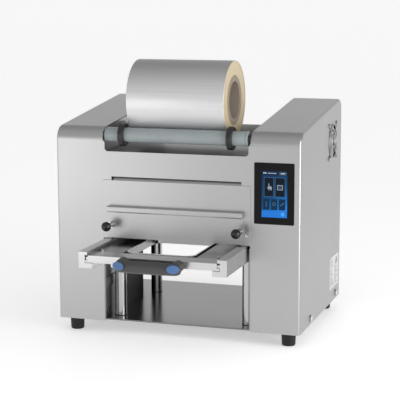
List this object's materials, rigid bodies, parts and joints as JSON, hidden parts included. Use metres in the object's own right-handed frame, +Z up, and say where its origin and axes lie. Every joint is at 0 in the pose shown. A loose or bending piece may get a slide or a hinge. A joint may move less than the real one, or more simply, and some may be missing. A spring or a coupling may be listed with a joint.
{
  "type": "tray and cup sealing machine",
  "caption": "Countertop film sealing machine with a film roll on two rollers, a pull-out mould drawer on rails, four columns, touch display and guard with ball knobs.",
  "frame": {"origin": "on the floor under the centre of the whole machine's box, drawer as pictured", "axes": "+Z up, +Y from the operator's side to the rear, +X to the operator's right (display side)"},
  "size_m": [0.526, 0.572, 0.5701],
  "materials": {
    "brushed_steel": "fine horizontal brushing",
    "polished_steel": "polished",
    "base_steel": "mirror-finished sheet",
    "aluminium": "satin anodised",
    "mould_grey": "hard anodised grey",
    "black_plastic": "fine moulded grain",
    "handle_grey": "fine moulded grain",
    "black_gloss": "polished ball",
    "blue_cap": "satin",
    "rubber": "matte",
    "bezel_black": "glass smooth",
    "screen": "lit display",
    "film": "glossy clear film wound tight",
    "cardboard": "spiral-wound board",
    "roller_grey": "smooth satin tube",
    "dark_metal": "cast housing",
    "board_green": "printed circuit board",
    "label_white": "printed foil"
  },
  "bodies": {
    "cabinet": {"base_plate": "base_steel", "column_seals": "rubber", "columns": "polished_steel", "control_board": "board_green", "display_bezel": "bezel_black", "display_housing": "black_plastic", "display_screen": "screen", "dome_screws": "polished_steel", "fan_frame": "black_plastic", "fan_guard": "polished_steel", "feed_motor": "dark_metal", "feet": "rubber", "film_bay_deck": "brushed_steel", "front_fascia": "brushed_steel", "front_panel": "brushed_steel", "left_drawer_rail": "aluminium", "left_inner_wall": "brushed_steel", "left_side_panel": "brushed_steel", "left_top_cover": "brushed_steel", "power_inlet": "black_plastic", "power_supply": "dark_metal", "press_beam": "aluminium", "press_motor": "dark_metal", "rating_label": "label_white", "rear_panel": "brushed_steel", "right_drawer_rail": "aluminium", "right_inner_wall": "brushed_steel", "right_side_panel": "brushed_steel", "right_top_cover": "brushed_steel", "roller_bushings": "black_plastic", "waste_motor": "dark_metal"},
    "drawer": {"drawer_frame": "aluminium", "mould_plate": "mould_grey", "tray_nest": "aluminium", "drawer_pins": "polished_steel", "drawer_handle": "handle_grey", "handle_caps": "blue_cap"},
    "film_reel": {"film_roll": "film", "film_core": "cardboard"},
    "front_roller_set": {"front_roller": "roller_grey", "front_roller_shaft": "polished_steel", "roller_collars": "black_plastic"},
    "rear_roller_set": {"rear_roller": "roller_grey", "rear_roller_shaft": "polished_steel"},
    "front_guide": {"guide_roller_front": "polished_steel"},
    "rear_guide": {"guide_roller_rear": "polished_steel"},
    "spool": {"waste_spool": "black_plastic"},
    "sealing_head": {"press_head": "aluminium", "heater_plate": "aluminium", "cutting_frame": "polished_steel", "guide_posts": "polished_steel"},
    "lead_screw": {"press_screw": "polished_steel"},
    "guard": {"guard_plate": "brushed_steel", "knob_sleeves": "polished_steel"},
    "left_knob": {"knob_stem_left": "polished_steel", "pull_knob_left": "black_gloss"},
    "right_knob": {"knob_stem_right": "polished_steel", "pull_knob_right": "black_gloss"},
    "fan": {"fan_impeller": "black_plastic"},
    "switch": {"mains_switch": "black_plastic"}
  },
  "joints": [
    {"name": "drawer_slide", "type": "slide", "parent": "cabinet", "child": "drawer", "axis": [0, 1, 0], "range_m": [0, 0.16]},
    {"name": "film_roll_spin", "type": "hinge", "parent": "cabinet", "child": "film_reel", "pos_m": [0, -0.026, 0.49011], "axis": [1, 0, 0], "continuous": true},
    {"name": "front_roller_spin", "type": "hinge", "parent": "cabinet", "child": "front_roller_set", "pos_m": [0, -0.09, 0.4195], "axis": [1, 0, 0], "continuous": true},
    {"name": "rear_roller_spin", "type": "hinge", "parent": "cabinet", "child": "rear_roller_set", "pos_m": [0, 0.038, 0.4195], "axis": [1, 0, 0], "continuous": true},
    {"name": "front_guide_spin", "type": "hinge", "parent": "cabinet", "child": "front_guide", "pos_m": [0, -0.072, 0.353], "axis": [1, 0, 0], "continuous": true},
    {"name": "rear_guide_spin", "type": "hinge", "parent": "cabinet", "child": "rear_guide", "pos_m": [0, 0.235, 0.353], "axis": [1, 0, 0], "continuous": true},
    {"name": "waste_spool_spin", "type": "hinge", "parent": "cabinet", "child": "spool", "pos_m": [0, 0.235, 0.273], "axis": [1, 0, 0], "continuous": true},
    {"name": "sealing_head_slide", "type": "slide", "parent": "cabinet", "child": "sealing_head", "axis": [0, 0, 1], "range_m": [-0.024, 0]},
    {"name": "lead_screw_spin", "type": "hinge", "parent": "cabinet", "child": "lead_screw", "pos_m": [0, 0.05, 0.298], "axis": [0, 0, 1], "range_deg": [-2170, 10]},
    {"name": "guard_lift", "type": "slide", "parent": "cabinet", "child": "guard", "axis": [0, 0, 1], "range_m": [0, 0.045]},
    {"name": "left_knob_pull", "type": "slide", "parent": "guard", "child": "left_knob", "axis": [0, -1, 0], "range_m": [0, 0.006], "stiffness_N_per_m": 400},
    {"name": "right_knob_pull", "type": "slide", "parent": "guard", "child": "right_knob", "axis": [0, -1, 0], "range_m": [0, 0.006], "stiffness_N_per_m": 400},
    {"name": "fan_spin", "type": "hinge", "parent": "cabinet", "child": "fan", "pos_m": [0.245, 0.192, 0.387], "axis": [1, 0, 0], "continuous": true},
    {"name": "switch_rock", "type": "hinge", "parent": "cabinet", "child": "switch", "pos_m": [0.233, 0.278, 0.1095], "axis": [1, 0, 0], "range_deg": [0, 12]}
  ],
  "couplings": [
    {"joint": "front_roller_spin", "follows": "film_roll_spin", "ratio": -5.3333},
    {"joint": "rear_roller_spin", "follows": "film_roll_spin", "ratio": -5.3333},
    {"joint": "lead_screw_spin", "follows": "sealing_head_slide", "rad_per_m": 1570.8}
  ]
}
